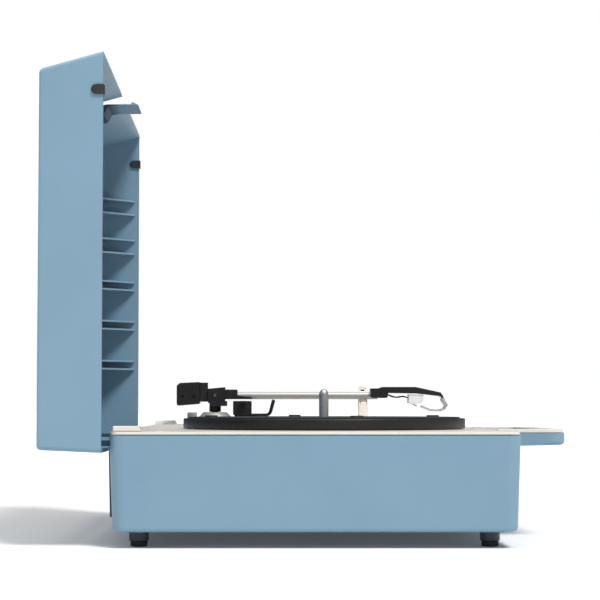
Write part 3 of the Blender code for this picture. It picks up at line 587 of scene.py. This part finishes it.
def carved(node, cutters):
    """The CAD node's own shape with more material taken away, as a mesh ready for its edges."""
    body_mesh = bpy.data.meshes.new(node + "_body")
    bm = own_shape(node)
    bm.to_mesh(body_mesh)
    bm.free()
    body = bpy.data.objects.new(node + "_body", body_mesh)
    scene.collection.objects.link(body)
    tools = []
    for number, cutter in enumerate(cutters):
        mesh = bpy.data.meshes.new(f"{node}_tool_{number}")
        cutter.to_mesh(mesh)
        cutter.free()
        tool = bpy.data.objects.new(mesh.name, mesh)
        scene.collection.objects.link(tool)
        tools.append(tool)
        cut = body.modifiers.new("cut", "BOOLEAN")
        cut.operation = "DIFFERENCE"
        cut.solver = "EXACT"
        cut.object = tool
    bpy.context.view_layer.update()
    shape = body.evaluated_get(bpy.context.evaluated_depsgraph_get())
    result = bmesh.new()
    result.from_mesh(shape.to_mesh())
    shape.to_mesh_clear()
    for extra in (body, *tools):
        bpy.data.objects.remove(extra, do_unlink=True)
    return result


# ---------------------------------------------------------------- turntable, in millimetres

SPINDLE = (-12.5, -12.0)
SHAFT_HOLE = 3.9
HUB_RADIUS = 12
BELT_RING = (60, 63)
RIM_INNER = 101.5
WEB_THICKNESS = 2.6
MAT_HOLE = 4.2
MAT_RADIUS = 101.8
FIRST_GROOVE = 23.0
LAST_GROOVE = 97
GROOVE_PITCH = 1.9
GROOVE_DEPTH = 0.25
RING_DEPTH = 0.3
DOTS = ((21, -84), (84, 20), (-21, 84), (-84, -20))
DOT_HEIGHT = 1.2


def add_platter():
    low, high = millimetres("platter")
    radius, bottom, top = (high.x - low.x) / 2, low.z, high.z
    web, hub = top - WEB_THICKNESS, bottom + 0.5
    ring_inner, ring_outer = BELT_RING
    rim = [(radius - 1.0, top), (radius - 0.45, top - 0.12), (radius - 0.12, top - 0.45), (radius, top - 1.0)]
    foot = [(radius, bottom + 0.5), (radius - 0.15, bottom + 0.15), (radius - 0.5, bottom)]
    under = [(RIM_INNER, bottom), (RIM_INNER, web), (ring_outer, web), (ring_outer, hub), (ring_inner, hub),
             (ring_inner, web), (HUB_RADIUS, web), (HUB_RADIUS, hub), (SHAFT_HOLE, hub)]
    turned("platter", [(SHAFT_HOLE, top)] + rim + foot + under, 240, SPINDLE)


def add_mat():
    low, high = millimetres("platter_mat")
    top = high.z - DOT_HEIGHT
    profile = [(MAT_HOLE, low.z), (MAT_HOLE, top - 0.15), (4.4, top), (19, top), (19.4, top - RING_DEPTH),
               (21.6, top - RING_DEPTH), (22, top)]
    groove = FIRST_GROOVE
    while groove < LAST_GROOVE:
        profile += [(groove, top), (groove + 0.5, top - GROOVE_DEPTH), (groove + 0.9, top - GROOVE_DEPTH),
                    (groove + 1.4, top)]
        groove += GROOVE_PITCH
    profile += [(100.9, top), (101.4, top - 0.12), (MAT_RADIUS, top - 0.4), (MAT_RADIUS, low.z)]
    bm = bmesh.new()
    add_turned(bm, profile, 192, SPINDLE)
    dot = [(0, high.z), (4.1, high.z), (4.55, high.z - 0.15), (4.75, high.z - 0.5), (4.75, top - 0.3),
           (0, top - 0.3)]
    for dx, dy in DOTS:
        add_turned(bm, dot, 48, (SPINDLE[0] + dx, SPINDLE[1] + dy), closed=False)
    bmesh.ops.recalc_face_normals(bm, faces=bm.faces)
    piece_for("platter_mat", bm, sharp=30)


def add_spindle():
    low, high = millimetres("spindle")
    radius, top = (high.x - low.x) / 2, high.z
    # radius, and how far below the top it is reached
    nose = [(0, 0), (0.9, 0.08), (1.7, 0.42), (2.3, 0.95), (2.85, 1.8), (3.25, 2.8), (3.48, 3.7),
            (radius, 4.6)]
    profile = [(reach, top - drop) for reach, drop in nose]
    profile += [(radius, low.z + 0.4), (radius - 0.4, low.z), (0, low.z)]
    turned("spindle", profile, 64, SPINDLE, closed=False)


add_platter()
add_mat()
add_spindle()

# ---------------------------------------------------------------- tonearm, in millimetres

NECK_HOLE = 3.2
PIT_RADIUS = 1.3
PIT_DEPTH = 1.4
WIRE_RADIUS = 0.5
# share of the way to the headshell, and height
WIRE_WAVES = {
    "head_wire_black": (
        (0, 103.1), (0.12, 102.2), (0.3, 101.3), (0.45, 101.0), (0.62, 101.5), (0.8, 101.6), (1, 100.5),
    ),
    "head_wire_red": (
        (0, 102.5), (0.14, 101.6), (0.33, 100.9), (0.5, 100.8), (0.66, 101.3), (0.82, 101.2), (1, 100.5),
    ),
}
LEVER_RADII = (1.2, 1.5)


def add_dome():
    low, high, middle, foot = middle_of("tonearm_base")
    top = high.z
    profile = [(NECK_HOLE, top), (9.3, top), (10.0, top - 0.35), (12.9, top - 3.1), (13.6, top - 4.1),
               (15.0, top - 6.9), (foot - 0.2, top - 8.2), (foot, low.z), (NECK_HOLE, low.z)]
    turned("tonearm_base", profile, 96, middle.xy, edge=0.3)


def add_arm_tube():
    low, high, middle, radius = middle_of("arm_tube")
    length = high.y - low.y
    profile = [(0, 0), (radius - 0.3, 0), (radius, 0.3), (radius, length - 0.3), (radius - 0.3, length),
               (0, length)]
    lying("arm_tube", profile, 72, (middle.x, high.y, middle.z))


def add_counterweight():
    """The weight with two round pits in each side."""
    low, high = millimetres("counterweight")
    z = low.z + 0.38 * (high.z - low.z)
    pits = []
    for share in (0.26, 0.76):
        y = low.y + share * (high.y - low.y)
        pits.append(pit((low.x, y, z), (1, 0, 0), PIT_RADIUS, PIT_DEPTH))
        pits.append(pit((high.x, y, z), (-1, 0, 0), PIT_RADIUS, PIT_DEPTH))
    piece_for("counterweight", carved("counterweight", pits), 0.7, 4)


def add_wires():
    low, high = millimetres("head_wire_black")
    start, span = high.y, low.y - high.y
    for node, wave in WIRE_WAVES.items():
        x = middle_of(node)[2].x
        tube(node, [(x, start + share * span, z) for share, z in wave], (WIRE_RADIUS, WIRE_RADIUS), 16)


def add_lever():
    low, high, middle, _ = middle_of("cue_lever")
    axis = low.z + LEVER_RADII[0]
    places = ((high.y, axis), (high.y - 8, axis), (33, axis), (29.5, axis + 0.2), (27.6, axis + 1.4),
              (26.6, axis + 3.6), (25.4, axis + 8), (24.1, high.z - 0.6))
    tube("cue_lever", [(middle.x, y, z) for y, z in places], LEVER_RADII, 20)


def add_rest():
    """The arm rest with two pairs of narrow slots."""
    low, high, middle, _ = middle_of("arm_rest")
    slots = []
    for side in (-1, 1):
        near, far = sorted((middle.y + side * 3.1, middle.y + side * 2.1))
        slots.append(block_between((low.x - 1, near, 94.4), (low.x + 1.6, far, 97.5)))
        slots.append(block_between((high.x - 4, near, 96.2), (high.x - 2.6, far, 99.8)))
    piece_for("arm_rest", carved("arm_rest", slots), 0.3, 3)


def add_clip():
    """The clip with a window near its top, its inside painted black as shade."""
    low, high, middle, _ = middle_of("arm_rest_clip")
    y = middle.y
    window = block_between((low.x - 1, y - 1.5, high.z - 4.2), (high.x - 0.5, y + 1.5, high.z - 2.9))
    clip = piece_for("arm_rest_clip", carved("arm_rest_clip", [window]), 0.2, 2)
    # painted shade: black plastic inside the window darkens the recess
    painted_shade_inside = ((high.x - 1.5, y - 1.45, high.z - 4.1), (high.x - 0.2, y + 1.45, high.z - 3.0))
    paint_shade_on(clip, *painted_shade_inside, MATERIALS["black_plastic"])


add_dome()
add_arm_tube()
add_counterweight()
add_wires()
add_lever()
add_rest()
add_clip()

# ---------------------------------------------------------------- controls, feet and sockets, in millimetres

KNOB_RIBS = 32
RIB_DEPTH = 0.1
KNOB_HEIGHT = 9.6
STEM_RADIUS = 1.8


def add_knob():
    low, high, middle, reach = middle_of("volume_knob")
    radius, top = reach - RIB_DEPTH, high.z
    under = top - KNOB_HEIGHT
    bm = bmesh.new()
    smooth = [(0, top), (radius - 0.8, top), (radius - 0.3, top - 0.35), (STEM_RADIUS, under),
              (STEM_RADIUS, low.z), (0, low.z)]
    add_turned(bm, smooth, 64, middle.xy, closed=False)
    ribbed = [(radius - 0.3, top - 0.35), (radius, top - 0.8), (radius, top - 9.2), (STEM_RADIUS, under)]
    add_turned(bm, ribbed, 192, middle.xy, ribs=KNOB_RIBS, rib_depth=RIB_DEPTH)
    bmesh.ops.recalc_face_normals(bm, faces=bm.faces)
    piece_for("volume_knob", bm, sharp=50)


def add_foot(place):
    node = "foot_collar_" + place
    low, high, middle, radius = middle_of(node)
    profile = [(0, high.z), (radius, high.z), (radius, high.z - 1.2), (radius - 0.25, high.z - 1.5),
               (radius - 0.3, low.z + 0.9), (radius - 0.6, low.z + 0.3), (radius - 1.1, low.z), (0, low.z)]
    turned(node, profile, 80, middle.xy, closed=False)
    pad = "foot_pad_" + place
    _, high, _, radius = middle_of(pad)
    profile = [(0, high.z), (radius, high.z), (radius, 0.9), (radius - 0.2, 0.45), (radius - 0.5, 0.15),
               (radius - 0.9, 0), (2.6, 0), (2.2, 0.5), (0, 0.5)]
    turned(pad, profile, 80, middle.xy, closed=False)


def add_socket(node):
    low, high, middle, radius = middle_of(node)
    length = high.y - low.y
    if node == "dc_inlet":
        profile = [(0, 1.2), (1.0, 1.2), (1.0, 9), (3.2, 9), (3.2, 0.2), (3.6, 0), (radius - 0.5, 0),
                   (radius, 0.4), (radius, 0.9), (6.0, 0.9), (6.0, length), (0, length)]
    else:
        profile = [(0, 7), (1.8, 7), (1.8, 0.3), (2.1, 0), (3.9, 0), (4.2, 0.3), (4.2, 6.8), (5.2, 7.0),
                   (radius, 7.4), (radius, length), (0, length)]
    lying(node, profile, 64, (middle.x, high.y, middle.z))


add_knob()
for foot_place in ("front_left", "front_right", "rear_left", "rear_right"):
    add_foot(foot_place)
for socket_node in ("rca_jack_left", "rca_jack_right", "dc_inlet"):
    add_socket(socket_node)

# ---------------------------------------------------------------- case, in millimetres

HANDLE_LENGTH = 46
HANDLE_BAR = 12.1
HANDLE_RISE = 0.7
HANDLE_ROUNDING = 2.8
# the handle's underside lies between these heights
UNDERSIDE = (64, 66)
# the edges of the handle's front bar that lie below this height are rounded
UNDER_EDGES_BELOW = 67


def add_base():
    """The case, its handle rising a little towards the front and rounded under its front edge."""
    bm = own_shape("base_shell")
    front = millimetres("base_shell")[0].y
    root = front + HANDLE_LENGTH
    for vert in bm.verts:
        _, y, z = vert.co / MM
        if y < root and UNDERSIDE[0] < z < UNDERSIDE[1]:
            vert.co.z += HANDLE_RISE * (root - y) / (root - front) * MM
    under = []
    for edge in bm.edges:
        ends = [end.co / MM for end in edge.verts]
        if all(end.y < front + HANDLE_BAR and end.z < UNDER_EDGES_BELOW for end in ends):
            under.append(edge)
    offset = HANDLE_ROUNDING * MM
    bmesh.ops.bevel(bm, geom=under, offset=offset, segments=5, profile=0.5, affect="EDGES")
    piece_for("base_shell", bm, 1.0, 4)


add_base()

# ---------------------------------------------------------------- pieces that keep the CAD shape

# millimetres and segments
PLAIN_EDGE = (0.25, 2)
EDGES = {
    "bearing_block": (0.5, 3),
    "corner_pad": (0.8, 4),
    "cue_housing": (0.5, 3),
    "cue_platform": (0.7, 4),
    "headshell": (0.7, 4),
    "lid_latch": (0.5, 3),
    "speed_selector": (0.7, 4),
    "stylus": (0.08, 2),
    "tonearm_yoke": (0.5, 3),
}
# pieces whose finest details leave room for a narrow edge only: its width, and how near points are joined
NARROW_EDGES = {
    "deck_plate": (0.19, 0.02),
    "lid_bumper_left": (0.12, SAME_POINT),
    "lid_bumper_right": (0.12, SAME_POINT),
    "lid_shell": (0.12, 0.1),
    "motor_pulley": (0.1, SAME_POINT),
    "speaker_cone_left": (0.1, SAME_POINT),
    "speaker_cone_right": (0.1, SAME_POINT),
    "stylus_guard": (0.12, SAME_POINT),
}
# the lid's ears that hold the latch pin, in millimetres
EAR_INNER = 21.6
EAR_BOTTOM, EAR_TOP = 313, 321
PAST_PIN_END = 1.5
BESIDE_PIN = 3.5

built = {piece.name.removesuffix("_fine") for piece in scene.objects if piece.name.endswith("_fine")}
for node in sorted(set(frame["nodes"]) - built):
    if node in NARROW_EDGES:
        width, join = NARROW_EDGES[node]
        piece_for(node, own_shape(node, join), width, 2, clamp=False)
    else:
        piece_for(node, own_shape(node), *EDGES.get(node, PLAIN_EDGE))

# painted shade: the ears get a dark navy because they stand in the shade of the lid's top wall
lid = scene.objects["lid_shell_fine"]
pin_low, pin_high = millimetres("latch_pin")
for left, right in ((pin_low.x - PAST_PIN_END, -EAR_INNER), (EAR_INNER, pin_high.x + PAST_PIN_END)):
    ear_low = (left, pin_low.y - BESIDE_PIN, EAR_BOTTOM)
    ear_high = (right, pin_high.y + BESIDE_PIN, EAR_TOP)
    paint_shade_on(lid, ear_low, ear_high, PAINTED_SHADE_BLUE)
